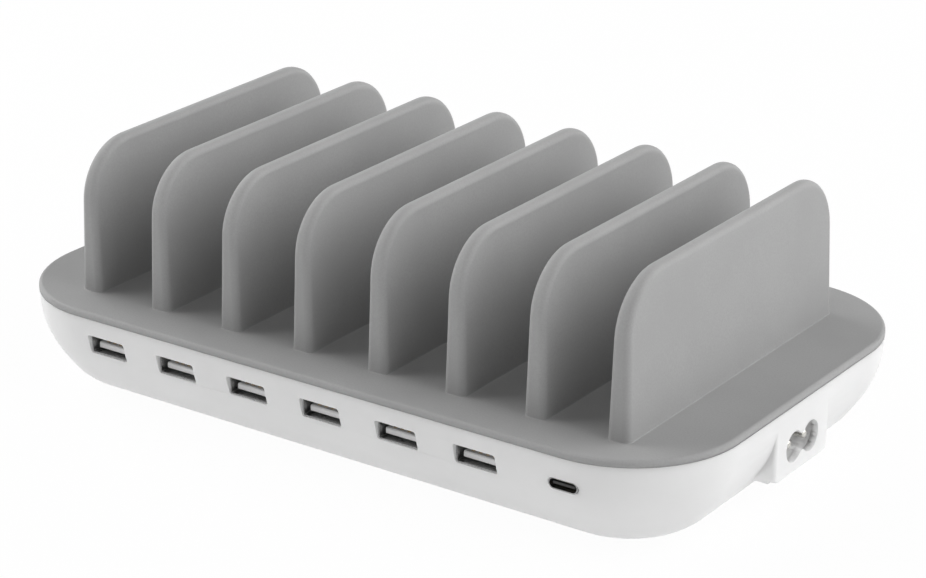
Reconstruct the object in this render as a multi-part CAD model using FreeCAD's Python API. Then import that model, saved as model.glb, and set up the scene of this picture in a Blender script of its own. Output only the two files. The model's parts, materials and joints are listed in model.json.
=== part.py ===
import FreeCAD, Part
import math
import os

# Desktop charging station: a white tub-shaped case, a grey cover with upright dividers,
# a row of charging sockets at the front and a two-pin mains inlet at the right end.
# Millimetres, +Z up, +X towards the inlet, -Y towards the sockets.
# The origin is on the table, under the middle of the cover.

# Case
case_length = 228.7
case_width = 137.8
case_corner_radius = 32.7
case_depth = 28.4
case_wall = 2.2
rim_straight = 0.4
flank_length = 4.0
flank_lean = 35.3
bilge_radius = 16.0
label_length = 60.0
label_width = 34.0
label_depth = 0.4
label_radius = 3.0

# Cover and dividers
cover_thickness = 1.9
cover_edge_round = 1.2
cover_lip_height = 2.4
cover_lip_thickness = 1.4
divider_count = 8
divider_left_margin = 26.85
divider_right_margin = 24.05
divider_front_margin = 12.75
divider_rear_margin = 17.7
divider_height = 43.2
divider_end_draft = 0.95
divider_corner_radius = 16.4
divider_base = 6.8
divider_top = 4.2
divider_wall = 1.5
divider_edge_round = 1.95
divider_foot_round = 0.25

# Feet and case screws
foot_height = 1.2
foot_radius = 6.0
foot_recess = 0.8
foot_edge_round = 0.6
foot_inset_x = 37.0
foot_inset_y = 32.5
column_radius = 5.0
column_height = 13.0
column_seat = 3.0
post_radius = 4.0
case_screw_radius = 1.25
case_screw_grip = 8.0
case_screw_head_radius = 2.75
case_screw_head_height = 1.9

# Boards and their screws
board_thickness = 1.6
board_corner_radius = 2.0
board_post_radius = 3.0
board_screw_radius = 1.1
board_screw_grip = 6.0
board_screw_head_radius = 2.2
board_screw_head_height = 1.5
driver_slot_width = 0.7
driver_slot_depth = 0.8

# USB-A sockets
usb_a_count = 6
usb_a_left_margin = 42.9
port_drop = 9.9
usb_a_recess = 2.2
usb_a_width = 13.1
usb_a_height = 5.7
usb_a_length = 14.0
usb_a_shell = 0.3
usb_a_corner = 0.7
usb_a_cutout_gap = 0.1
usb_a_heel = 4.0
usb_a_tongue_width = 11.0
usb_a_tongue_thickness = 1.6
usb_a_tongue_gap = 0.8
usb_a_tongue_setback = 1.8
usb_a_tongue_chamfer = 0.3
usb_a_contact_count = 4
usb_a_contact_pitch = 2.25
usb_a_contact_width = 1.0
usb_a_contact_length = 7.0
usb_a_contact_thickness = 0.15

# USB-C socket
usb_c_recess = 1.0
usb_c_right_margin = 32.5
usb_c_step = 27.2
usb_c_width = 8.94
usb_c_height = 3.26
usb_c_length = 7.4
usb_c_shell = 0.3
usb_c_cutout_gap = 0.1
usb_c_heel = 2.4
usb_c_tongue_width = 6.7
usb_c_tongue_thickness = 0.7
usb_c_tongue_setback = 0.6
usb_c_contact_count = 12
usb_c_contact_pitch = 0.5
usb_c_contact_width = 0.25
usb_c_contact_length = 3.4
usb_c_contact_thickness = 0.08

# Port board
port_board_overhang = 3.2
port_board_width = 21.0
port_board_end_margin = 8.0
port_board_edge_gap = 0.3
port_screw_margin = 4.0
controller_chip_size = (5.0, 4.0, 1.5)
controller_chip_gap = 2.0

# Mains inlet
inlet_shift_y = -1.2
inlet_drop = 14.3
inlet_lobe_radius = 4.4
inlet_neck_height = 5.2
inlet_pin_spacing = 8.6
inlet_pin_radius = 1.2
inlet_pin_setback = 1.5
inlet_cavity_depth = 12.0
inlet_back_wall = 2.6
inlet_side_wall = 1.5
inlet_tag_length = 4.0
boss_setback = 0.3
boss_half_width = 14.2
boss_drop = 22.0
boss_reach = 12.0
boss_flare_radius = 9.0
boss_corner_radius = 2.0
boss_edge_round = 0.8

# Power board and what stands on it
power_board_standoff = 3.0
power_board_width = 61.0
power_board_end_margin = 9.0
power_screw_margin = 4.5
part_gap = 2.0
fuse_radius = 2.6
fuse_length = 20.0
fuse_cap_length = 5.0
fuse_cap_thickness = 0.3
x_capacitor_size = (8.5, 18.0, 14.5)
choke_size = (17.0, 20.0, 16.0)
choke_bore_radius = 4.0
bridge_size = (3.6, 20.0, 15.0)
bulk_capacitor_radius = 8.0
bulk_capacitor_headroom = 2.6
heatsink_thickness = 2.0
heatsink_length = 46.0
heatsink_flange_reach = 3.5
heatsink_flange_length = 15.0
heatsink_headroom = 0.6
transistor_size = (4.6, 10.0, 15.0)
transistor_lead_width = 0.9
transistor_lead_pitch = 2.54
transistor_lead_height = 3.0
transformer_length = 28.0
transformer_width = 24.0
transformer_headroom = 1.6
transformer_leg = 6.0
transformer_window_depth = 13.0
bobbin_wall = 1.2
chip_size = (6.5, 5.0, 3.4)
y_capacitor_size = (3.5, 8.0, 9.0)
output_capacitor_count = 3
output_capacitor_radius = 5.0
output_capacitor_height = 16.0
capacitor_edge_round = 0.9

# Wires
mains_wire_radius = 0.9
mains_wire_margin = 4.5
lead_radius = 1.0
lead_gap = 3.0
lead_margin = 4.0
lead_headroom = 3.5
bend_share = 0.45

# Working clearances
fit_gap = 0.2
screw_gap = 0.4

X = FreeCAD.Vector(1, 0, 0)
Y = FreeCAD.Vector(0, 1, 0)
Z = FreeCAD.Vector(0, 0, 1)

# Levels and outlines that follow from the driving dimensions
half_length = case_length / 2
half_width = case_width / 2
case_bottom = foot_height
case_floor = case_bottom + case_wall
case_top = case_bottom + case_depth
deck_top = case_top + cover_thickness
divider_peak = deck_top + divider_height
lean = math.radians(flank_lean)
flank_height = flank_length * math.cos(lean)
bilge_height = bilge_radius * (1 - math.sin(lean))
shoulder_radius = (case_depth - rim_straight - flank_height - bilge_height) / math.sin(lean)
bottom_inset = (shoulder_radius * (1 - math.cos(lean)) + flank_length * math.sin(lean)
                + bilge_radius * math.cos(lean))
core_inset = (bottom_inset + case_corner_radius) / 2
divider_pitch = (case_length - divider_left_margin - divider_right_margin) / (divider_count - 1)
divider_xs = [divider_left_margin - half_length + i * divider_pitch for i in range(divider_count)]
divider_length = case_width - divider_front_margin - divider_rear_margin
divider_y = (divider_front_margin - divider_rear_margin) / 2
screw_spots = [(sx * (half_length - foot_inset_x), sy * (half_width - foot_inset_y))
               for sx in (-1, 1) for sy in (-1, 1)]
column_top = case_bottom + column_height
screw_seat = column_top - column_seat
pilot_depth = case_screw_grip + screw_gap

# Sockets and port board
socket_z = deck_top - port_drop
usb_a_front = -half_width + usb_a_recess
usb_c_front = -half_width + usb_c_recess
usb_c_x = half_length - usb_c_right_margin
usb_a_pitch = (case_length - usb_a_left_margin - usb_c_step - usb_c_right_margin) / (usb_a_count - 1)
usb_a_xs = [usb_a_left_margin - half_length + i * usb_a_pitch for i in range(usb_a_count)]
port_board_top = socket_z - usb_a_height / 2
port_board_bottom = port_board_top - board_thickness
port_board_front = usb_a_front + port_board_overhang
port_board_back = port_board_front + port_board_width
port_board_left = usb_a_xs[0] - usb_a_width / 2 - port_board_end_margin
port_board_right = usb_c_x + port_board_end_margin
port_screw_y = port_board_back - port_screw_margin
port_screw_spots = [(usb_a_xs[i] + usb_a_pitch / 2, port_screw_y) for i in range(0, usb_a_count - 1, 2)]

# Mains inlet
boss_face = half_length - boss_setback
boss_inner_face = boss_face - case_wall
boss_bottom = deck_top - boss_drop
inlet_seat = boss_bottom + case_wall
inlet_z = deck_top - inlet_drop
inlet_back = boss_inner_face - inlet_cavity_depth - inlet_back_wall
inlet_half_width = inlet_pin_spacing / 2 + inlet_lobe_radius + inlet_side_wall
tag_end = inlet_back - inlet_tag_length

# Power board, on the case's centre line: the parts stand in columns, from the inlet's end to the left
power_board_bottom = case_floor + power_board_standoff
power_board_top = power_board_bottom + board_thickness
power_room = case_top - power_board_top
heatsink_size = (heatsink_thickness, heatsink_length, power_room - heatsink_headroom - heatsink_thickness)
transformer_size = (transformer_length, transformer_width, power_room - transformer_headroom)
bulk_capacitor_height = power_room - bulk_capacitor_headroom
column_widths = [
    ("fuse", 2 * fuse_radius),
    ("x_capacitor", x_capacitor_size[0]),
    ("choke", choke_size[0]),
    ("bridge", bridge_size[0]),
    ("bulk", 2 * bulk_capacitor_radius),
    ("transistor", transistor_size[0]),
    ("primary_heatsink", heatsink_thickness),
    ("transformer", transformer_length),
    ("rectifier", transistor_size[0]),
    ("secondary_heatsink", heatsink_thickness),
    ("output", 2 * output_capacitor_radius),
]
touching = ("primary_heatsink", "secondary_heatsink")
power_board_length = 2 * power_board_end_margin + sum(width for name, width in column_widths)
power_board_length += part_gap * (len(column_widths) - 1 - len(touching))
power_board_right = power_board_length / 2
power_board_front = -power_board_width / 2
power_screw_spots = [(sx * (power_board_length / 2 - power_screw_margin),
                      sy * (power_board_width / 2 - power_screw_margin))
                     for sx in (-1, 1) for sy in (-1, 1)]


def column_places():
    """Middle of each column on the power board; heatsinks touch what they cool."""
    places = {}
    edge = power_board_right - power_board_end_margin
    for name, width in column_widths:
        if places and name not in touching:
            edge -= part_gap
        places[name] = edge - width / 2
        edge -= width
    return places


place = column_places()


def rounded_wire(corners):
    """Closed wire through (point, radius) corners, with an arc at each corner that has a radius."""
    rounds = []
    for i, (point, radius) in enumerate(corners):
        back = (corners[i - 1][0] - point).normalize()
        ahead = (corners[(i + 1) % len(corners)][0] - point).normalize()
        half_angle = back.getAngle(ahead) / 2
        reach = radius / math.tan(half_angle)
        middle = (back + ahead).normalize() * (radius / math.sin(half_angle) - radius)
        rounds.append((point + back * reach, point + middle, point + ahead * reach, radius))
    edges = []
    for i, (start, middle, end, radius) in enumerate(rounds):
        if radius > 0:
            edges.append(Part.Arc(start, middle, end).toShape())
        following = rounds[(i + 1) % len(rounds)][0]
        if (following - end).Length > Part.Precision.confusion():
            edges.append(Part.LineSegment(end, following).toShape())
    return Part.Wire(edges)


def prism(corners, direction):
    """Solid from a rounded outline, extruded by a vector."""
    return Part.Face(rounded_wire(corners)).extrude(direction)


def bar(centre, along, half_along, across, half_across, direction, radius=0):
    """Rounded-rectangle prism about a centre, spanned by two unit vectors and extruded by a third."""
    corners = [(centre + along * (sa * half_along) + across * (sc * half_across), radius)
               for sa, sc in ((-1, -1), (1, -1), (1, 1), (-1, 1))]
    return prism(corners, direction)


def block(centre_x, centre_y, bottom, size, radius=0):
    """Upright block of a (length, width, height) size, standing on a level."""
    centre = FreeCAD.Vector(centre_x, centre_y, bottom)
    return bar(centre, X, size[0] / 2, Y, size[1] / 2, Z * size[2], radius)


def plate(inset, bottom, top):
    """Slab with the case's rounded outline, set in from it by a distance."""
    centre = FreeCAD.Vector(0, 0, bottom)
    radius = case_corner_radius - inset
    return bar(centre, X, half_length - inset, Y, half_width - inset, Z * (top - bottom), radius)


def cylinder(x, y, bottom, top, radius):
    return Part.makeCylinder(radius, top - bottom, FreeCAD.Vector(x, y, bottom), Z)


def edges_at(shape, level):
    """Edges that lie flat at a level."""
    tolerance = fit_gap / 2
    return [e for e in shape.Edges
            if abs(e.BoundBox.ZMin - level) < tolerance and abs(e.BoundBox.ZMax - level) < tolerance]


def hull_section(offset, top):
    """Section of the case body, set in from the outer skin by offset, at a corner's centre."""
    def at(inset, z):
        return FreeCAD.Vector(case_corner_radius - inset, 0, z)

    def on_round(inset, z, radius, angle):
        return at(inset - (radius - offset) * math.cos(angle), z - (radius - offset) * math.sin(angle))

    def on_shoulder(angle):
        return on_round(shoulder_radius, case_top - rim_straight, shoulder_radius, angle)

    def on_bilge(angle):
        return on_round(bottom_inset, case_bottom + bilge_radius, bilge_radius, angle)

    upright = math.pi / 2
    low = on_bilge(upright)
    edges = [
        Part.LineSegment(at(offset, top), on_shoulder(0)),
        Part.Arc(on_shoulder(0), on_shoulder(lean / 2), on_shoulder(lean)),
        Part.LineSegment(on_shoulder(lean), on_bilge(lean)),
        Part.Arc(on_bilge(lean), on_bilge((lean + upright) / 2), low),
        Part.LineSegment(low, at(core_inset, low.z)),
        Part.LineSegment(at(core_inset, low.z), at(core_inset, top)),
        Part.LineSegment(at(core_inset, top), at(offset, top)),
    ]
    return Part.Face(Part.Wire([edge.toShape() for edge in edges]))


def hull(offset, top):
    """Filled case body: the section runs along the four sides and turns round the four corners."""
    section = hull_section(offset, top)
    reach_x = half_length - case_corner_radius
    reach_y = half_width - case_corner_radius
    corners = [(1, 1), (-1, 1), (-1, -1), (1, -1)]
    turn = 360 / len(corners)
    pieces = []
    for k, (sx, sy) in enumerate(corners):
        quarter = section.revolve(FreeCAD.Vector(), Z, turn)
        quarter.rotate(FreeCAD.Vector(), Z, k * turn)
        quarter.translate(FreeCAD.Vector(sx * reach_x, sy * reach_y, 0))
        pieces.append(quarter)
        run = 2 * (reach_y if k % 2 == 0 else reach_x)
        side = section.extrude(Y * run)
        side.rotate(FreeCAD.Vector(), Z, k * turn)
        last_x, last_y = corners[k - 1]
        side.translate(FreeCAD.Vector(last_x * reach_x, last_y * reach_y, 0))
        pieces.append(side)
    core = plate(core_inset, case_bottom + offset, top)
    return core.fuse(pieces).removeSplitter()


def skin_inset(level, depth):
    """How far inside the rim the skin lies on the shoulder at a level, at a depth under the outer skin."""
    drop = case_top - rim_straight - level
    return shoulder_radius - math.sqrt((shoulder_radius - depth) ** 2 - drop ** 2)


def pin_y(side):
    return inlet_shift_y + side * inlet_pin_spacing / 2


def figure_eight(x, depth):
    """Mains inlet outline: two round lobes and a lower neck between them, extruded along X."""
    lobes = [Part.makeCylinder(inlet_lobe_radius, depth, FreeCAD.Vector(x, pin_y(side), inlet_z), X)
             for side in (-1, 1)]
    centre = FreeCAD.Vector(x, inlet_shift_y, inlet_z)
    neck = bar(centre, Y, inlet_pin_spacing / 2, Z, inlet_neck_height / 2, X * depth)
    return neck.fuse(lobes).removeSplitter()


def inlet_boss():
    """Flat-faced block at the right end that the mains inlet looks out of, flared towards the case."""
    back = boss_face - boss_reach
    root = boss_face - boss_flare_radius
    wide = boss_half_width + boss_flare_radius
    outline = [(back, -wide, 0), (root, -wide, 0), (root, -boss_half_width, boss_flare_radius),
               (boss_face, -boss_half_width, 0), (boss_face, boss_half_width, 0),
               (root, boss_half_width, boss_flare_radius), (root, wide, 0), (back, wide, 0)]
    corners = [(FreeCAD.Vector(x, inlet_shift_y + y, boss_bottom), radius) for x, y, radius in outline]
    boss = prism(corners, Z * (case_top - boss_bottom))
    flanks = [e for e in edges_at(boss, boss_bottom)
              if min(e.BoundBox.XLength, e.BoundBox.YLength) > fit_gap]
    boss = boss.makeFillet(boss_corner_radius, flanks)
    rim = [e for e in boss.Edges
           if e.BoundBox.XMin > boss_face - fit_gap and e.BoundBox.ZMin < case_top - fit_gap]
    return boss.makeFillet(boss_edge_round, rim)


def inlet_housing():
    """Block inside the case, behind the boss, that the inlet's pocket is cut into."""
    height = case_top - boss_bottom
    centre = FreeCAD.Vector(boss_face - boss_reach, inlet_shift_y, boss_bottom + height / 2)
    return bar(centre, Y, boss_half_width, Z, height / 2, X * (boss_inner_face - centre.x))


def inlet_pocket():
    """Room inside the boss for the inlet body."""
    height = deck_top - inlet_seat
    depth = boss_inner_face - (boss_face - boss_reach)
    centre = FreeCAD.Vector(boss_face - boss_reach, inlet_shift_y, inlet_seat + height / 2)
    return bar(centre, Y, boss_half_width - case_wall, Z, height / 2, X * depth)


def usb_a_outline(x, front, depth, growth=0):
    centre = FreeCAD.Vector(x, front, socket_z)
    return bar(centre, X, usb_a_width / 2 + growth, Z, usb_a_height / 2 + growth, Y * depth,
               usb_a_corner + growth)


def usb_c_outline(front, depth, growth=0):
    centre = FreeCAD.Vector(usb_c_x, front, socket_z)
    half_height = usb_c_height / 2 + growth
    return bar(centre, X, usb_c_width / 2 + growth, Z, half_height, Y * depth, half_height)


def bottom_case():
    """White tub with posts for the boards, columns for the case screws, and socket and inlet cut-outs."""
    outer = hull(0, case_top)
    inside = hull(case_wall, deck_top)
    tub = outer.cut(inside)
    post_rows = [(port_screw_spots, port_board_bottom, board_post_radius),
                 (power_screw_spots, power_board_bottom, board_post_radius),
                 (screw_spots, column_top, column_radius)]
    posts = [cylinder(x, y, case_bottom, top, radius) for spots, top, radius in post_rows for x, y in spots]
    tub = tub.fuse([post.common(outer) for post in posts] + [inlet_boss().cut(inside), inlet_housing()])

    ahead = -half_width - case_wall
    through = usb_a_front + usb_a_length - ahead
    cuts = [inlet_pocket(), figure_eight(boss_inner_face - case_wall, 3 * case_wall)]
    cuts += [usb_a_outline(x, ahead, through, usb_a_cutout_gap) for x in usb_a_xs]
    cuts.append(usb_c_outline(ahead, through, usb_c_cutout_gap))
    for x, y in screw_spots:
        cuts.append(cylinder(x, y, case_bottom, case_bottom + foot_recess, foot_radius + fit_gap))
        cuts.append(cylinder(x, y, case_bottom, screw_seat, case_screw_head_radius + screw_gap))
        cuts.append(cylinder(x, y, screw_seat, column_top, case_screw_radius + screw_gap))
    pilot_bottom = port_board_bottom - board_screw_grip
    cuts += [cylinder(x, y, pilot_bottom, port_board_bottom, board_screw_radius) for x, y in port_screw_spots]
    cuts += [cylinder(x, y, case_floor, power_board_bottom, board_screw_radius) for x, y in power_screw_spots]
    cuts.append(block(0, 0, case_bottom, (label_length, label_width, label_depth), label_radius))
    return tub.cut(cuts).removeSplitter()


def divider_side(x, inset, bottom):
    """Side outline of a divider, set in by a distance, as corners in the plane at x."""
    half = divider_length / 2 - inset
    peak = divider_peak - inset
    middle = FreeCAD.Vector(x, divider_y, 0)
    radius = divider_corner_radius - inset
    slope = divider_end_draft / divider_height
    low = half + slope * (deck_top - bottom)
    high = half - slope * (peak - deck_top)
    return [(middle - Y * low + Z * bottom, 0), (middle + Y * low + Z * bottom, 0),
            (middle + Y * high + Z * peak, radius), (middle - Y * high + Z * peak, radius)]


def divider_solid(x, inset, bottom):
    """Divider that thins towards its top, set in by a distance on every side."""
    slope = (divider_base - divider_top) / 2 / divider_height
    peak = divider_peak - inset
    half_low = divider_base / 2 - inset + slope * (deck_top - bottom)
    half_high = divider_base / 2 - inset - slope * (peak - deck_top)
    slab = prism(divider_side(x - divider_base, inset, bottom), X * (2 * divider_base))
    start = FreeCAD.Vector(x, divider_y - divider_length, 0)
    taper = prism([(start - X * half_low + Z * bottom, 0), (start + X * half_low + Z * bottom, 0),
                   (start + X * half_high + Z * peak, 0), (start - X * half_high + Z * peak, 0)],
                  Y * (2 * divider_length))
    return slab.common(taper)


def divider(x):
    """Outer form of a divider, rooted in the deck, with its outline rounded on both sides."""
    solid = divider_solid(x, 0, case_top + cover_thickness / 2)
    normals = [(f, f.normalAt(0, 0)) for f in solid.Faces]
    sides = [f for f, normal in normals if abs(normal.x) > max(abs(normal.y), abs(normal.z))]
    outline = [e for f in sides for e in f.Edges if e.BoundBox.ZMax > deck_top]
    return solid.makeFillet(divider_edge_round, outline)


def divider_roots(deck):
    """Edges where the dividers meet the deck."""
    reach = divider_length / 2 + divider_base
    return [e for e in edges_at(deck, deck_top)
            if e.BoundBox.XLength < 2 * divider_base
            and abs(e.BoundBox.Center.y - divider_y) < reach
            and any(abs(e.BoundBox.Center.x - x) < divider_base for x in divider_xs)]


def cover_lip():
    """Ring under the deck that stands inside the case's rim, open where the inlet's boss is."""
    inset = case_wall + fit_gap
    low = case_top - cover_lip_height
    lip = plate(inset, low, case_top).cut(plate(inset + cover_lip_thickness, low, case_top))
    centre = FreeCAD.Vector(boss_face - boss_reach, inlet_shift_y, low)
    notch = bar(centre, X, boss_reach, Y, boss_half_width + fit_gap, Z * cover_lip_height)
    return lip.cut(notch)


def top_cover():
    """Grey deck with hollow dividers, a lip inside the case's rim and posts for the case screws."""
    deck = plate(0, case_top, deck_top)
    deck = deck.makeFillet(cover_edge_round, edges_at(deck, deck_top))
    deck = deck.fuse([divider(x) for x in divider_xs]).removeSplitter()
    deck = deck.makeFillet(divider_foot_round, divider_roots(deck))
    posts = [cylinder(x, y, column_top, case_top, post_radius) for x, y in screw_spots]
    cores = [divider_solid(x, divider_wall, case_top) for x in divider_xs]
    pilots = [cylinder(x, y, column_top, column_top + pilot_depth, case_screw_radius) for x, y in screw_spots]
    return deck.fuse([cover_lip()] + posts).cut(cores + pilots).removeSplitter()


def rubber_foot(x, y):
    foot = cylinder(x, y, 0, case_bottom + foot_recess, foot_radius)
    return foot.makeFillet(foot_edge_round, edges_at(foot, 0))


def screw(x, y, seat, up, grip, radius, head_radius, head_height):
    """Cross-slotted pan-head screw at its core size; up is 1 for a shank that points up, -1 for down."""
    foot = FreeCAD.Vector(x, y, seat)
    shank = Part.makeCylinder(radius, grip, foot, Z * up)
    head = Part.makeCylinder(head_radius, head_height, foot, Z * -up)
    outer = seat - up * head_height
    head = head.makeFillet(head_height / 3, edges_at(head, outer))
    reach = head_radius - driver_slot_width
    slots = [bar(FreeCAD.Vector(x, y, outer), along, reach, across, driver_slot_width / 2,
                 Z * up * driver_slot_depth) for along, across in ((X, Y), (Y, X))]
    return shank.fuse(head).cut(slots).removeSplitter()


def case_screws():
    return [screw(x, y, screw_seat, 1, column_seat + case_screw_grip, case_screw_radius,
                  case_screw_head_radius, case_screw_head_height) for x, y in screw_spots]


def board_screws():
    long_grip = board_thickness + board_screw_grip
    short_grip = board_thickness + power_board_standoff
    head = (board_screw_radius, board_screw_head_radius, board_screw_head_height)
    screws = [screw(x, y, port_board_top, -1, long_grip, *head) for x, y in port_screw_spots]
    return screws + [screw(x, y, power_board_top, -1, short_grip, *head) for x, y in power_screw_spots]


def drilled(board, spots, bottom):
    """Board with a clearance hole at each screw."""
    holes = [cylinder(x, y, bottom, bottom + board_thickness, board_screw_radius + fit_gap) for x, y in spots]
    return board.cut(holes)


def port_board():
    """Board that carries the sockets; its front corners follow the case's corners."""
    middle_x = (port_board_left + port_board_right) / 2
    middle_y = (port_board_front + port_board_back) / 2
    size = (port_board_right - port_board_left, port_board_width, board_thickness)
    board = block(middle_x, middle_y, port_board_bottom, size, board_corner_radius)
    inset = skin_inset(port_board_bottom, case_wall) + port_board_edge_gap
    board = board.common(plate(inset, port_board_bottom, port_board_top))
    return drilled(board, port_screw_spots, port_board_bottom)


def power_board():
    size = (power_board_length, power_board_width, board_thickness)
    board = block(0, 0, power_board_bottom, size, board_corner_radius)
    return drilled(board, power_screw_spots, power_board_bottom)


def usb_a_shell_piece(x):
    outer = usb_a_outline(x, usb_a_front, usb_a_length)
    return outer.cut(usb_a_outline(x, usb_a_front, usb_a_length, -usb_a_shell))


def usb_a_tongue_bottom():
    return socket_z - usb_a_height / 2 + usb_a_shell + usb_a_tongue_gap


def usb_a_insert(x):
    """Insulator: a heel that closes the shell's back, and the tongue that carries the contacts."""
    heel_front = usb_a_front + usb_a_length - usb_a_heel
    heel = usb_a_outline(x, heel_front, usb_a_heel, -usb_a_shell)
    tongue_front = usb_a_front + usb_a_tongue_setback
    centre = FreeCAD.Vector(x, tongue_front, usb_a_tongue_bottom() + usb_a_tongue_thickness / 2)
    tongue = bar(centre, X, usb_a_tongue_width / 2, Z, usb_a_tongue_thickness / 2,
                 Y * (heel_front - tongue_front))
    nose = [e for e in edges_at(tongue, usb_a_tongue_bottom() + usb_a_tongue_thickness)
            if e.BoundBox.YMax < tongue_front + fit_gap]
    return heel.fuse(tongue.makeChamfer(usb_a_tongue_chamfer, nose)).removeSplitter()


def usb_a_contacts(x):
    """Four strips on the upper face of the tongue."""
    back = usb_a_front + usb_a_length - usb_a_heel
    level = usb_a_tongue_bottom() + usb_a_tongue_thickness
    size = (usb_a_contact_width, usb_a_contact_length, usb_a_contact_thickness)
    middle = (usb_a_contact_count - 1) / 2
    return [block(x + (i - middle) * usb_a_contact_pitch, back - usb_a_contact_length / 2, level, size)
            for i in range(usb_a_contact_count)]


def usb_c_shell_piece():
    outer = usb_c_outline(usb_c_front, usb_c_length)
    return outer.cut(usb_c_outline(usb_c_front, usb_c_length, -usb_c_shell))


def usb_c_insert():
    heel_front = usb_c_front + usb_c_length - usb_c_heel
    heel = usb_c_outline(heel_front, usb_c_heel, -usb_c_shell)
    tongue_front = usb_c_front + usb_c_tongue_setback
    tongue = bar(FreeCAD.Vector(usb_c_x, tongue_front, socket_z), X, usb_c_tongue_width / 2,
                 Z, usb_c_tongue_thickness / 2, Y * (heel_front - tongue_front))
    return heel.fuse(tongue).removeSplitter()


def usb_c_contacts():
    """Strips on both faces of the tongue."""
    back = usb_c_front + usb_c_length - usb_c_heel
    size = (usb_c_contact_width, usb_c_contact_length, usb_c_contact_thickness)
    middle = (usb_c_contact_count - 1) / 2
    half_tongue = usb_c_tongue_thickness / 2
    levels = (socket_z + half_tongue, socket_z - half_tongue - usb_c_contact_thickness)
    return [block(usb_c_x + (i - middle) * usb_c_contact_pitch, back - usb_c_contact_length / 2, level, size)
            for level in levels for i in range(usb_c_contact_count)]


def usb_c_seat():
    """Plastic seat that lifts the smaller socket to the middle of the row."""
    height = socket_z - usb_c_height / 2 - port_board_top
    length = usb_c_front + usb_c_length - port_board_front
    size = (usb_c_width - usb_c_height, length, height)
    return block(usb_c_x, port_board_front + length / 2, port_board_top, size)


def controller_chips():
    """One charge controller behind each socket."""
    y = usb_a_front + usb_a_length + controller_chip_gap + controller_chip_size[1] / 2
    return [block(x, y, port_board_top, controller_chip_size) for x in usb_a_xs + [usb_c_x]]


def inlet_body():
    """Insulating body behind the boss, with the plug's cavity and holes for the pins."""
    height = 2 * (inlet_z - inlet_seat)
    depth = inlet_cavity_depth + inlet_back_wall
    centre = FreeCAD.Vector(inlet_back, inlet_shift_y, inlet_z)
    body = bar(centre, Y, inlet_half_width, Z, height / 2, X * depth, inlet_side_wall)
    cavity = figure_eight(inlet_back + inlet_back_wall, inlet_cavity_depth)
    starts = [FreeCAD.Vector(inlet_back, pin_y(side), inlet_z) for side in (-1, 1)]
    holes = [Part.makeCylinder(inlet_pin_radius, inlet_back_wall, start, X) for start in starts]
    return body.cut([cavity] + holes)


def inlet_pin(side):
    """Round pin with a rounded tip, standing in the cavity and reaching out at the back as a solder tag."""
    length = boss_face - inlet_pin_setback - tag_end
    pin = Part.makeCylinder(inlet_pin_radius, length, FreeCAD.Vector(tag_end, pin_y(side), inlet_z), X)
    tip = [e for e in pin.Edges if e.BoundBox.XMin > boss_face - inlet_pin_setback - fit_gap]
    return pin.makeFillet(inlet_pin_radius / 2, tip)


def wire_run(points, radius):
    """Insulated wire along straight runs with tangent arcs, each as large as the shorter run allows."""
    edges = []
    start = points[0]
    for last, corner, ahead in zip(points, points[1:], points[2:]):
        back = (last - corner).normalize()
        onward = (ahead - corner).normalize()
        half_angle = back.getAngle(onward) / 2
        reach = bend_share * min((last - corner).Length, (ahead - corner).Length)
        bend = reach * math.tan(half_angle)
        middle = corner + (back + onward).normalize() * (bend / math.sin(half_angle) - bend)
        edges.append(Part.LineSegment(start, corner + back * reach).toShape())
        edges.append(Part.Arc(corner + back * reach, middle, corner + onward * reach).toShape())
        start = corner + onward * reach
    edges.append(Part.LineSegment(start, points[-1]).toShape())
    path = Part.Wire(edges)
    section = Part.Wire([Part.makeCircle(radius, points[0], points[1] - points[0])])
    wire = path.makePipeShell([section], True, False)
    ratio = wire.Volume / (path.Length * math.pi * radius ** 2)
    print("wire length %.1f, volume ratio %.4f" % (path.Length, ratio))
    return wire


def mains_wire(side):
    """From the inlet's tag to the power board."""
    y = pin_y(side)
    x = power_board_right - mains_wire_margin
    return wire_run([FreeCAD.Vector(tag_end, y, inlet_z), FreeCAD.Vector(x, y, inlet_z),
                     FreeCAD.Vector(x, y, power_board_top)], mains_wire_radius)


def output_lead(side):
    """From the power board over to the port board."""
    x = usb_a_xs[1] + usb_a_pitch / 2 + side * lead_gap / 2
    start_y = power_board_front + lead_margin
    end_y = port_board_back - lead_margin
    level = case_top - cover_lip_height - lead_headroom
    return wire_run([FreeCAD.Vector(x, start_y, power_board_top), FreeCAD.Vector(x, start_y, level),
                     FreeCAD.Vector(x, end_y, level), FreeCAD.Vector(x, end_y, port_board_top)], lead_radius)


def fuse_link():
    """Glass fuse lying on the board between its two end caps."""
    z = power_board_top + fuse_radius
    start = FreeCAD.Vector(place["fuse"], -fuse_length / 2, z)
    tube = Part.makeCylinder(fuse_radius - fuse_cap_thickness, fuse_length, start, Y)
    caps = [Part.makeCylinder(fuse_radius, fuse_cap_length, start + Y * shift, Y)
            for shift in (0, fuse_length - fuse_cap_length)]
    return tube.fuse(caps).removeSplitter()


def x_capacitor():
    return block(place["x_capacitor"], 0, power_board_top, x_capacitor_size, capacitor_edge_round)


def mains_choke():
    """Core with a bore along its length."""
    body = block(place["choke"], 0, power_board_top, choke_size, board_corner_radius)
    start = FreeCAD.Vector(place["choke"], -choke_size[1] / 2, power_board_top + choke_size[2] / 2)
    return body.cut(Part.makeCylinder(choke_bore_radius, choke_size[1], start, Y))


def bridge_rectifier():
    return block(place["bridge"], 0, power_board_top, bridge_size, capacitor_edge_round)


def can(x, y, radius, height):
    """Upright capacitor can with rounded ends."""
    body = cylinder(x, y, power_board_top, power_board_top + height, radius)
    return body.makeFillet(capacitor_edge_round, edges_at(body, power_board_top + height))


def bulk_capacitor(side):
    y = side * (bulk_capacitor_radius + part_gap / 2)
    return can(place["bulk"], y, bulk_capacitor_radius, bulk_capacitor_height)


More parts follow.
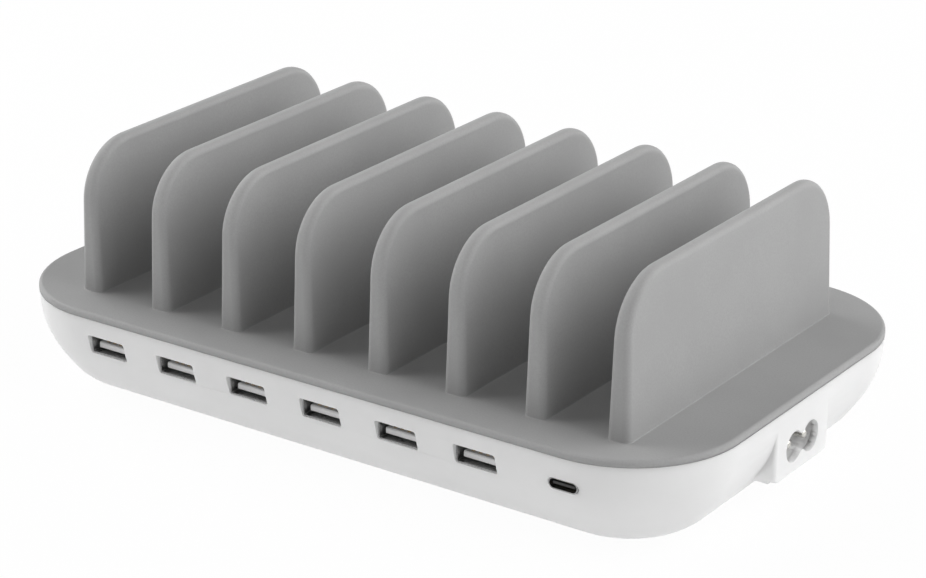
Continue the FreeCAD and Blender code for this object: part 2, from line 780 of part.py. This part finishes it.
def heatsink(name):
    """Plate with a flange turned over at its top, away from the part that it cools."""
    fin = block(place[name], 0, power_board_top, heatsink_size)
    flange_x = place[name] + (heatsink_thickness - heatsink_flange_reach) / 2
    flange_size = (heatsink_flange_reach, heatsink_flange_length, heatsink_thickness)
    flange = block(flange_x, 0, power_board_top + heatsink_size[2], flange_size)
    return fin.fuse(flange).removeSplitter()


def cooled_part(name):
    """Flat power part on three leads, face to face with its heatsink."""
    thickness, width, height = transistor_size
    lead_size = (transistor_lead_width, transistor_lead_width, transistor_lead_height)
    body = block(place[name], 0, power_board_top + transistor_lead_height,
                 (thickness, width, height - transistor_lead_height))
    leads = [block(place[name], i * transistor_lead_pitch, power_board_top, lead_size) for i in (-1, 0, 1)]
    return body.fuse(leads).removeSplitter()


def transformer_window(side, growth):
    """Opening between the core's middle leg and one side leg, cut right through along Y."""
    length, width, height = transformer_size
    opening = (length - 3 * transformer_leg) / 2
    centre = FreeCAD.Vector(place["transformer"] + side * (transformer_leg + opening) / 2,
                            -width / 2, power_board_top + height / 2)
    return bar(centre, X, opening / 2 - growth, Z, transformer_window_depth / 2 - growth, Y * width)


def transformer_core():
    core = block(place["transformer"], 0, power_board_top, transformer_size)
    return core.cut([transformer_window(side, 0) for side in (-1, 1)])


def transformer_bobbin():
    """Two channels that line the core's windows."""
    return [transformer_window(side, fit_gap / 2).cut(transformer_window(side, bobbin_wall))
            for side in (-1, 1)]


def transformer_winding():
    """The two halves of the winding that pass through the bobbin."""
    return [transformer_window(side, bobbin_wall + fit_gap / 2) for side in (-1, 1)]


def beside_transformer(side):
    return side * (transformer_width / 2 + part_gap)


def optocoupler():
    y = beside_transformer(1) + chip_size[1] / 2
    return block(place["transformer"] - chip_size[0] / 2 - part_gap / 2, y, power_board_top, chip_size)


def pwm_controller():
    y = beside_transformer(1) + chip_size[1] / 2
    return block(place["transformer"] + chip_size[0] / 2 + part_gap / 2, y, power_board_top, chip_size)


def y_capacitor():
    y = beside_transformer(-1) - y_capacitor_size[1] / 2
    return block(place["transformer"], y, power_board_top, y_capacitor_size, capacitor_edge_round)


def output_capacitors():
    middle = (output_capacitor_count - 1) / 2
    pitch = 2 * output_capacitor_radius + part_gap
    return [can(place["output"], (i - middle) * pitch, output_capacitor_radius, output_capacitor_height)
            for i in range(output_capacitor_count)]


def all_pieces():
    """Every node's name with its solid, or its list of separate solids."""
    pieces = {
        "bottom_case": bottom_case(),
        "top_cover": top_cover(),
        "case_screws": case_screws(),
        "board_screws": board_screws(),
        "port_board": port_board(),
        "power_board": power_board(),
        "charge_controllers": controller_chips(),
        "usb_c_shell": usb_c_shell_piece(),
        "usb_c_insert": usb_c_insert(),
        "usb_c_contacts": usb_c_contacts(),
        "usb_c_seat": usb_c_seat(),
        "inlet_body": inlet_body(),
        "line_pin": inlet_pin(1),
        "neutral_pin": inlet_pin(-1),
        "line_wire": mains_wire(1),
        "neutral_wire": mains_wire(-1),
        "positive_lead": output_lead(1),
        "negative_lead": output_lead(-1),
        "fuse": fuse_link(),
        "x_capacitor": x_capacitor(),
        "mains_choke": mains_choke(),
        "bridge_rectifier": bridge_rectifier(),
        "bulk_capacitor_1": bulk_capacitor(-1),
        "bulk_capacitor_2": bulk_capacitor(1),
        "primary_heatsink": heatsink("primary_heatsink"),
        "power_transistor": cooled_part("transistor"),
        "secondary_heatsink": heatsink("secondary_heatsink"),
        "output_rectifier": cooled_part("rectifier"),
        "transformer_core": transformer_core(),
        "transformer_bobbin": transformer_bobbin(),
        "transformer_winding": transformer_winding(),
        "optocoupler": optocoupler(),
        "pwm_controller": pwm_controller(),
        "y_capacitor": y_capacitor(),
        "output_capacitors": output_capacitors(),
    }
    for number, (x, y) in enumerate(screw_spots, 1):
        pieces["rubber_foot_%d" % number] = rubber_foot(x, y)
    for number, x in enumerate(usb_a_xs, 1):
        pieces["usb_a_shell_%d" % number] = usb_a_shell_piece(x)
        pieces["usb_a_insert_%d" % number] = usb_a_insert(x)
        pieces["usb_a_contacts_%d" % number] = usb_a_contacts(x)
    return pieces


def save(name, shape):
    if isinstance(shape, list):
        shape = Part.Compound(shape)
    solids = len(shape.Solids)
    print("%-20s solids %d  volume %10.1f  valid %s" % (name, solids, shape.Volume, shape.isValid()))
    shape.exportStep("parts/%s.step" % name)


os.makedirs("parts", exist_ok=True)
for piece_name, piece in all_pieces().items():
    save(piece_name, piece)
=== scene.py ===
import json
import math

import bmesh
import bpy
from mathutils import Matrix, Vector


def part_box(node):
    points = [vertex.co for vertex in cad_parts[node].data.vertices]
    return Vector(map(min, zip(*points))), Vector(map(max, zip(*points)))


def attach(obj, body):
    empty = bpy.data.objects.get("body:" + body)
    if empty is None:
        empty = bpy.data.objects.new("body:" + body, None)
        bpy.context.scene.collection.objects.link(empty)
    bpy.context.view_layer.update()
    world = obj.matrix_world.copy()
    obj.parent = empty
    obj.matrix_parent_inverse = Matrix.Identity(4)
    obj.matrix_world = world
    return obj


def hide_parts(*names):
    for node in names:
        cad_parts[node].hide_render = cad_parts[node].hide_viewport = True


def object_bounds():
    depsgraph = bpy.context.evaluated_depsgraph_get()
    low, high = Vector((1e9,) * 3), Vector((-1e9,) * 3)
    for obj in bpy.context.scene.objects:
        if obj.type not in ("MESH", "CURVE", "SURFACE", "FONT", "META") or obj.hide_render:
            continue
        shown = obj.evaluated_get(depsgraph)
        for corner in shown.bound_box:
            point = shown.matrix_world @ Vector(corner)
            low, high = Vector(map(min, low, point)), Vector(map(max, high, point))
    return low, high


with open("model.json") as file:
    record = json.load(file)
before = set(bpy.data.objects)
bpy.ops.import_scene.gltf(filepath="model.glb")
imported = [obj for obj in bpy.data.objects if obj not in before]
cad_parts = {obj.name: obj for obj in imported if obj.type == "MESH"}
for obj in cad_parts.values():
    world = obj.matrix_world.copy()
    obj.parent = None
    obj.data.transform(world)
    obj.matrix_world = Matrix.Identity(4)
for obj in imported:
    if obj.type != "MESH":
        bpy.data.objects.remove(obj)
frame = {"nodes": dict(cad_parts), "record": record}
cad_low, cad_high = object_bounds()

# Dressed model of a desktop charging station: satin white case, soft grey cover with dividers,
# plated charging sockets and a two-pin mains inlet. Metres, in the frame's own axes.
MM = 0.001

# Picture frame and the camera that took it
IMAGE_WIDTH = 926
IMAGE_HEIGHT = 578
SENSOR_WIDTH = 36.0
FOCAL_PIXELS = 2855.6
PRINCIPAL_POINT = (474.3, 280.7)
CAMERA_AZIMUTH = 34.97
CAMERA_ELEVATION = 21.81
CAMERA_PLACE = Vector((436.5, -614.0, 337.85)) * MM

# Studio: soft boxes round the part, by azimuth, elevation, size and power, and a faint even dome
SOFT_BOXES = {
    "left_box": (-80.0, 34.0, 1.6, 24.5),
    "right_box": (106.0, 36.0, 1.6, 19.5),
    "rear_box": (150.0, 22.0, 1.2, 7.5),
    "front_box": (15.0, 24.0, 1.2, 4.5),
}
BOX_DISTANCE = 1.6
DOME_LEVEL = 0.05
FLOOR_TONE = 0.92
FLOOR_REACH = 6.0
FLOOR_WHITENESS = 0.96
FLOOR_GLOW = 0.25

# How deep light spreads in milky plastic
MILK_DEPTH = 4 * MM

# Sizes of the patterns in the finishes
CLOUD_SIZE = 22 * MM
PATCH_SIZE = 7 * MM
PLATING_PATCH = 1.5 * MM
DRAWING_LINE = 0.25 * MM
DRAWING_DEPTH = 0.01 * MM
PAPER_PATCH = 40 * MM
PAPER_UNEVENNESS = 0.01

# Height of the band at the dividers' tops that hands have smoothed
HANDLED_BAND = 5 * MM

# Finish of the joined copies
JOIN_DISTANCE = 0.001 * MM
SHARP_ANGLE = math.radians(28)

# Places on the part, read from the frame
cover_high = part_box("top_cover")[1]
middle = (Vector(cad_low) + Vector(cad_high)) / 2


def direction(azimuth, elevation):
    """Unit vector towards a place round the part: azimuth 0 is the front, 90 the inlet's end."""
    turn = math.radians(azimuth)
    rise = math.radians(elevation)
    return Vector((math.sin(turn) * math.cos(rise), -math.cos(turn) * math.cos(rise), math.sin(rise)))


def set_camera():
    """Camera at the photograph's viewing angle."""
    data = bpy.data.cameras.new("camera")
    data.sensor_width = SENSOR_WIDTH
    data.lens = FOCAL_PIXELS * SENSOR_WIDTH / IMAGE_WIDTH
    data.shift_x = (IMAGE_WIDTH / 2 - PRINCIPAL_POINT[0]) / IMAGE_WIDTH
    data.shift_y = (PRINCIPAL_POINT[1] - IMAGE_HEIGHT / 2) / IMAGE_WIDTH
    camera = bpy.data.objects.new("camera", data)
    camera.location = CAMERA_PLACE
    back = direction(CAMERA_AZIMUTH, CAMERA_ELEVATION)
    camera.rotation_euler = (-back).to_track_quat("-Z", "Y").to_euler()
    bpy.context.scene.collection.objects.link(camera)
    bpy.context.scene.camera = camera


class Finish:
    """A material's node tree, with short ways to add nodes and join them."""

    def __init__(self, name, color, roughness, metallic=0.0):
        self.material = bpy.data.materials.new(name)
        self.material.use_nodes = True
        self.nodes = self.material.node_tree.nodes
        self.links = self.material.node_tree.links
        self.shader = self.nodes["Principled BSDF"]
        self.shader.inputs["Base Color"].default_value = (*color, 1.0)
        self.shader.inputs["Roughness"].default_value = roughness
        self.shader.inputs["Metallic"].default_value = metallic
        self.coordinates = self.nodes.new("ShaderNodeTexCoord").outputs["Object"]

    def noise(self, size, detail=2.0, roughness=0.5, stretch=None):
        """Noise whose grains are about size metres across, drawn out where stretch is below 1."""
        node = self.nodes.new("ShaderNodeTexNoise")
        node.inputs["Scale"].default_value = 1.0 / size
        node.inputs["Detail"].default_value = detail
        node.inputs["Roughness"].default_value = roughness
        source = self.coordinates
        if stretch:
            mapping = self.nodes.new("ShaderNodeMapping")
            mapping.inputs["Scale"].default_value = stretch
            self.links.new(source, mapping.inputs["Vector"])
            source = mapping.outputs["Vector"]
        self.links.new(source, node.inputs["Vector"])
        return node.outputs["Fac"]

    def height(self):
        """Height above the table."""
        node = self.nodes.new("ShaderNodeSeparateXYZ")
        self.links.new(self.coordinates, node.inputs["Vector"])
        return node.outputs["Z"]

    def spread(self, source, low, high, from_low=0.3, from_high=0.7):
        """Map a source's range to low and high."""
        node = self.nodes.new("ShaderNodeMapRange")
        node.inputs["From Min"].default_value = from_low
        node.inputs["From Max"].default_value = from_high
        node.inputs["To Min"].default_value = low
        node.inputs["To Max"].default_value = high
        self.links.new(source, node.inputs["Value"])
        return node.outputs["Result"]

    def combine(self, operation, first, second):
        """One number from two sources, kept between 0 and 1."""
        node = self.nodes.new("ShaderNodeMath")
        node.operation = operation
        node.use_clamp = True
        self.links.new(first, node.inputs[0])
        self.links.new(second, node.inputs[1])
        return node.outputs["Value"]

    def tint(self, source, first, second):
        """Colour between two tones, by a source from 0 to 1."""
        node = self.nodes.new("ShaderNodeMix")
        node.data_type = "RGBA"
        first_socket, second_socket = [s for s in node.inputs if s.type == "RGBA"]
        first_socket.default_value = (*first, 1.0)
        second_socket.default_value = (*second, 1.0)
        self.links.new(source, node.inputs["Factor"])
        return [s for s in node.outputs if s.type == "RGBA"][0]

    def bump(self, source, distance, strength):
        """Fine relief of a given depth."""
        node = self.nodes.new("ShaderNodeBump")
        node.inputs["Strength"].default_value = strength
        node.inputs["Distance"].default_value = distance
        self.links.new(source, node.inputs["Height"])
        return node.outputs["Normal"]

    def apply(self, color, roughness, normal):
        """Join the finished sources to the shader."""
        self.links.new(color, self.shader.inputs["Base Color"])
        self.links.new(roughness, self.shader.inputs["Roughness"])
        self.links.new(normal, self.shader.inputs["Normal"])
        return self.material


def grey(level):
    """Neutral tone."""
    return (level, level, level)


def moulded_plastic(name, dark, light, rough_low, rough_high, grain, depth, milkiness=0.0):
    """Moulded plastic: a fine spark-eroded grain, a little cloudiness and uneven gloss."""
    finish = Finish(name, light, rough_high)
    finish.shader.inputs["Subsurface Weight"].default_value = milkiness
    finish.shader.inputs["Subsurface Radius"].default_value = (1.0, 1.0, 1.0)
    finish.shader.inputs["Subsurface Scale"].default_value = MILK_DEPTH
    cloud = finish.spread(finish.noise(CLOUD_SIZE, detail=3.0), 0.0, 1.0)
    gloss = finish.spread(finish.noise(PATCH_SIZE, detail=4.0), rough_low, rough_high)
    fine = finish.noise(grain, detail=2.0, roughness=0.6)
    return finish.apply(finish.tint(cloud, dark, light), gloss, finish.bump(fine, depth, 0.5))


def drawn_metal(name, dark, light, rough_low, rough_high, stretch):
    """Rolled or plated metal with drawing lines along one axis."""
    finish = Finish(name, light, rough_high, metallic=1.0)
    lines = finish.noise(DRAWING_LINE, detail=3.0, stretch=stretch)
    tone = finish.spread(lines, 0.0, 1.0)
    gloss = finish.spread(finish.noise(PLATING_PATCH, detail=3.0), rough_low, rough_high)
    return finish.apply(finish.tint(tone, dark, light), gloss, finish.bump(lines, DRAWING_DEPTH, 0.4))


def case_white():
    """Satin white plastic, a little milky."""
    return moulded_plastic("case_white", grey(0.82), grey(0.85), 0.38, 0.48, 0.25 * MM, 0.02 * MM, 0.6)


def cover_grey():
    """Soft grey coating, handled a little smoother along the tops of the dividers."""
    finish = Finish("cover_grey", grey(0.345), 0.6)
    cloud = finish.noise(CLOUD_SIZE, detail=3.0)
    specks = finish.noise(0.5 * MM, detail=1.0)
    tone = finish.spread(finish.combine("MULTIPLY", cloud, specks), 0.0, 1.0, 0.15, 0.4)
    fine = finish.noise(0.3 * MM, detail=2.0, roughness=0.6)
    handled = finish.spread(finish.height(), 0.0, 0.5, cover_high.z - HANDLED_BAND, cover_high.z)
    patches = finish.noise(PATCH_SIZE, detail=4.0)
    gloss = finish.spread(finish.combine("MULTIPLY", handled, patches), 0.66, 0.5, 0.0, 0.3)
    return finish.apply(finish.tint(tone, grey(0.33), grey(0.36)), gloss, finish.bump(fine, 0.035 * MM, 0.5))


def foot_rubber():
    return moulded_plastic("foot_rubber", grey(0.05), grey(0.07), 0.75, 0.9, 0.4 * MM, 0.05 * MM)


def socket_steel():
    return drawn_metal("socket_steel", grey(0.28), grey(0.42), 0.25, 0.42, (1, 0.08, 1))


def insert_white():
    return moulded_plastic("insert_white", grey(0.80), grey(0.86), 0.4, 0.55, 0.2 * MM, 0.01 * MM)


def contact_gold():
    return drawn_metal("contact_gold", (0.70, 0.48, 0.20), (0.85, 0.62, 0.30), 0.2, 0.35, (1, 0.1, 1))


def screw_steel():
    return drawn_metal("screw_steel", grey(0.40), grey(0.55), 0.3, 0.45, (1, 1, 0.2))


def pin_nickel():
    return drawn_metal("pin_nickel", (0.52, 0.51, 0.48), (0.66, 0.65, 0.62), 0.2, 0.35, (0.1, 1, 1))


def board_green():
    return moulded_plastic("board_green", (0.02, 0.13, 0.06), (0.03, 0.18, 0.08), 0.3, 0.45,
                           0.4 * MM, 0.02 * MM)


def chip_black():
    return moulded_plastic("chip_black", grey(0.02), grey(0.035), 0.45, 0.6, 0.15 * MM, 0.02 * MM)


def wire_insulation(name, color):
    """Smooth insulation, a little darker in patches."""
    dark = tuple(0.85 * part for part in color)
    return moulded_plastic(name, dark, color, 0.4, 0.5, 0.3 * MM, 0.01 * MM)


def fuse_glass():
    return moulded_plastic("fuse_glass", grey(0.62), grey(0.70), 0.1, 0.2, 0.3 * MM, 0.005 * MM)


def capacitor_yellow():
    return moulded_plastic("capacitor_yellow", (0.62, 0.42, 0.05), (0.70, 0.50, 0.06), 0.35, 0.5,
                           0.3 * MM, 0.02 * MM)


def capacitor_sleeve():
    return moulded_plastic("capacitor_sleeve", (0.03, 0.04, 0.09), (0.05, 0.06, 0.12), 0.2, 0.3,
                           0.4 * MM, 0.01 * MM)


def capacitor_blue():
    return moulded_plastic("capacitor_blue", (0.06, 0.20, 0.48), (0.08, 0.25, 0.55), 0.3, 0.45,
                           0.4 * MM, 0.02 * MM)


def ferrite():
    return moulded_plastic("ferrite", grey(0.05), grey(0.075), 0.5, 0.7, 0.25 * MM, 0.04 * MM)


def winding_copper():
    return drawn_metal("winding_copper", (0.55, 0.25, 0.12), (0.75, 0.40, 0.22), 0.25, 0.4, (1, 0.1, 1))


def heatsink_aluminium():
    return drawn_metal("heatsink_aluminium", grey(0.60), grey(0.72), 0.3, 0.5, (1, 0.1, 1))


def make_finishes():
    """Every finish by the name of its material slot."""
    makers = [case_white, cover_grey, foot_rubber, socket_steel, insert_white, contact_gold, screw_steel,
              pin_nickel, board_green, chip_black, fuse_glass, capacitor_yellow, capacitor_sleeve,
              capacitor_blue, ferrite, winding_copper, heatsink_aluminium]
    finishes = {maker.__name__: maker() for maker in makers}
    insulation = {"wire_brown": (0.17, 0.07, 0.03), "wire_blue": (0.05, 0.13, 0.42),
                  "wire_red": (0.47, 0.03, 0.03), "wire_black": grey(0.03)}
    for slot, color in insulation.items():
        finishes[slot] = wire_insulation(slot, color)
    return finishes


def dress_nodes(finishes):
    """Each node takes the finish of its slot in the record."""
    for row in frame["record"]["subparts"]:
        node = frame["nodes"][row["node"]]
        node.data.materials.clear()
        node.data.materials.append(finishes[row["material_slot"]])


def smooth_copy(name, slot):
    """Joined copy of a node's loose triangles, with its rounded faces shaded smooth, in the node's place."""
    mesh = frame["nodes"][name].data.copy()
    shape = bmesh.new()
    shape.from_mesh(mesh)
    bmesh.ops.remove_doubles(shape, verts=shape.verts, dist=JOIN_DISTANCE)
    shape.to_mesh(mesh)
    shape.free()
    mesh.polygons.foreach_set("use_smooth", [True] * len(mesh.polygons))
    mesh.set_sharp_from_angle(angle=SHARP_ANGLE)
    mesh.materials.clear()
    mesh.materials.append(finishes[slot])
    piece = bpy.data.objects.new(name + "_skin", mesh)
    bpy.context.scene.collection.objects.link(piece)
    flats = piece.modifiers.new("flat_faces_stay_flat", "WEIGHTED_NORMAL")
    flats.keep_sharp = True
    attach(piece, "root")
    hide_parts(name)


def background_rays(nodes, links):
    """1 for rays that show the background: from the camera, and in reflections and glass."""
    rays = nodes.new("ShaderNodeLightPath").outputs
    total = rays["Is Camera Ray"]
    for name in ("Is Glossy Ray", "Is Transmission Ray"):
        add = nodes.new("ShaderNodeMath")
        add.use_clamp = True
        links.new(total, add.inputs[0])
        links.new(rays[name], add.inputs[1])
        total = add.outputs["Value"]
    return total


def make_floor():
    """Pale floor, lit a little from beneath, nearly white to the camera, with the part's shadow."""
    finish = Finish("floor_white", grey(FLOOR_TONE), 0.9)
    patches = finish.noise(PAPER_PATCH, detail=2.0)
    paper = finish.spread(patches, FLOOR_TONE - PAPER_UNEVENNESS, FLOOR_TONE + PAPER_UNEVENNESS)
    finish.links.new(paper, finish.shader.inputs["Base Color"])
    seen = background_rays(finish.nodes, finish.links)
    glow = finish.nodes.new("ShaderNodeEmission")
    choose = finish.nodes.new("ShaderNodeMixShader")
    finish.links.new(finish.spread(seen, FLOOR_GLOW, FLOOR_WHITENESS, 0.0, 1.0), choose.inputs["Fac"])
    finish.links.new(finish.shader.outputs["BSDF"], choose.inputs[1])
    finish.links.new(glow.outputs["Emission"], choose.inputs[2])
    finish.links.new(choose.outputs["Shader"], finish.nodes["Material Output"].inputs["Surface"])
    mesh = bpy.data.meshes.new("floor")
    shape = bmesh.new()
    bmesh.ops.create_grid(shape, x_segments=8, y_segments=8, size=FLOOR_REACH)
    shape.to_mesh(mesh)
    shape.free()
    mesh.materials.append(finish.material)
    floor = bpy.data.objects.new("floor", mesh)
    bpy.context.scene.collection.objects.link(floor)


def make_soft_box(name, azimuth, elevation, size, power):
    """Square soft box that faces the part."""
    data = bpy.data.lights.new(name, "AREA")
    data.shape = "SQUARE"
    data.size = size
    data.energy = power
    lamp = bpy.data.objects.new(name, data)
    towards = direction(azimuth, elevation)
    lamp.location = middle + towards * BOX_DISTANCE
    lamp.rotation_euler = (-towards).to_track_quat("-Z", "Y").to_euler()
    bpy.context.scene.collection.objects.link(lamp)


def make_dome():
    """White to the camera and in reflections, and an even soft light on the part."""
    world = bpy.data.worlds.new("studio")
    world.use_nodes = True
    nodes = world.node_tree.nodes
    links = world.node_tree.links
    background = nodes["Background"]
    background.inputs["Color"].default_value = (1.0, 1.0, 1.0, 1.0)
    strength = nodes.new("ShaderNodeMapRange")
    strength.inputs["To Min"].default_value = DOME_LEVEL
    strength.inputs["To Max"].default_value = 1.0
    links.new(background_rays(nodes, links), strength.inputs["Value"])
    links.new(strength.outputs["Result"], background.inputs["Strength"])
    bpy.context.scene.world = world


finishes = make_finishes()
dress_nodes(finishes)
smooth_copy("top_cover", "cover_grey")
smooth_copy("bottom_case", "case_white")
smooth_copy("inlet_body", "case_white")
make_floor()
make_dome()
for box_name, box in SOFT_BOXES.items():
    make_soft_box(box_name, *box)
set_camera()
bpy.context.scene.view_settings.view_transform = "Standard"
